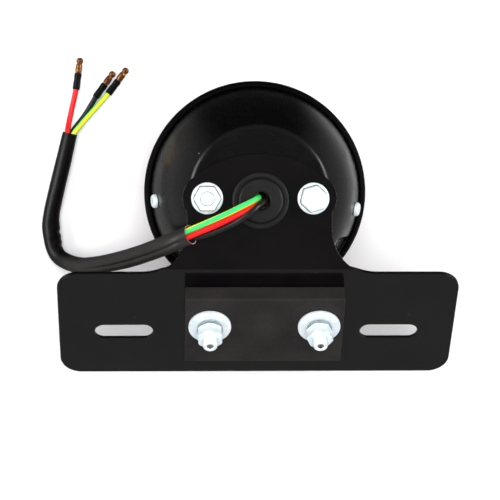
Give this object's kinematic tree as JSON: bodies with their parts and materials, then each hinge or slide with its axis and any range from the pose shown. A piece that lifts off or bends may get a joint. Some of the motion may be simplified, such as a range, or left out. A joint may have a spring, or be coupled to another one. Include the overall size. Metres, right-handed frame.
{
  "type": "motorcycle tail light",
  "caption": "Round motorcycle tail and brake light with a red lens, bent licence plate bracket, rubber pad with studs and a sleeved cable with bullet connectors.",
  "frame": {"origin": "middle of the lens's flat front face, which the lamp lies on", "axes": "+Z along the lamp's axis and out of its back, +X to the lamp's right seen from behind, -Y down when the lamp is on the motorcycle, towards the licence plate"},
  "size_m": [0.1794, 0.1377, 0.0883],
  "materials": {
    "black_paint": "gloss black baked paint on pressed steel",
    "zinc": "bright zinc plating",
    "steel": "plain spring and strip steel",
    "brass": "copper-coloured brass, dull at the edges",
    "rubber": "matte moulded black rubber",
    "foam": "matte closed-cell foam",
    "black_pvc": "semi-gloss flexible black PVC",
    "phenolic": "brown phenolic board",
    "red_lens": "transparent red moulded plastic",
    "clear_plastic": "clear moulded plastic",
    "glass": "clear blown glass",
    "tungsten": "dark tungsten wire",
    "red_pvc": "semi-gloss red PVC",
    "green_pvc": "semi-gloss green PVC with a yellow stripe"
  },
  "bodies": {
    "lamp": {"bowl": "black_paint", "bezel_ring": "black_paint", "mounting_bracket": "black_paint", "lens": "red_lens", "lens_gasket": "foam", "lens_snap_ring": "steel", "window_seal": "rubber", "plate_light_window": "clear_plastic", "side_screw_left": "zinc", "side_screw_right": "zinc", "upper_bolt_left": "zinc", "upper_bolt_right": "zinc", "inner_nut_left": "zinc", "inner_nut_right": "zinc", "rubber_block": "rubber", "cable_grommet": "rubber", "stud_left": "zinc", "stud_right": "zinc", "flat_washer_left": "zinc", "flat_washer_right": "zinc", "spring_washer_left": "zinc", "spring_washer_right": "zinc", "stud_nut_left": "zinc", "stud_nut_right": "zinc", "socket_bridge": "steel", "socket_shell": "zinc", "ground_terminal": "brass", "contact_spring": "steel", "wire_green": "green_pvc", "wire_red": "red_pvc", "wire_black": "black_pvc", "wire_sleeve": "black_pvc", "insulator_green": "black_pvc", "insulator_red": "black_pvc", "insulator_black": "black_pvc", "bullet_green": "brass", "bullet_red": "brass", "bullet_black": "brass"},
    "contact_carrier": {"contact_plate": "phenolic", "contact_tail": "brass", "contact_brake": "brass"},
    "bulb": {"bulb_glass": "glass", "bulb_base": "brass", "bulb_insulator": "black_pvc", "bulb_tip_tail": "zinc", "bulb_tip_brake": "zinc", "bulb_stem": "glass", "filament_tail": "tungsten", "filament_brake": "tungsten"}
  },
  "joints": [
    {"name": "contact_press", "type": "slide", "parent": "lamp", "child": "contact_carrier", "axis": [0, 0, 1], "range_m": [0, 0.0025], "stiffness_N_per_m": 2500, "springref_m": -0.003, "deforming": ["contact_spring"]},
    {"name": "bulb_twist", "type": "hinge", "parent": "contact_carrier", "child": "bulb", "pos_m": [0, 0, 0.05], "axis": [0, 0, 1], "range_deg": [-20, 0]}
  ]
}
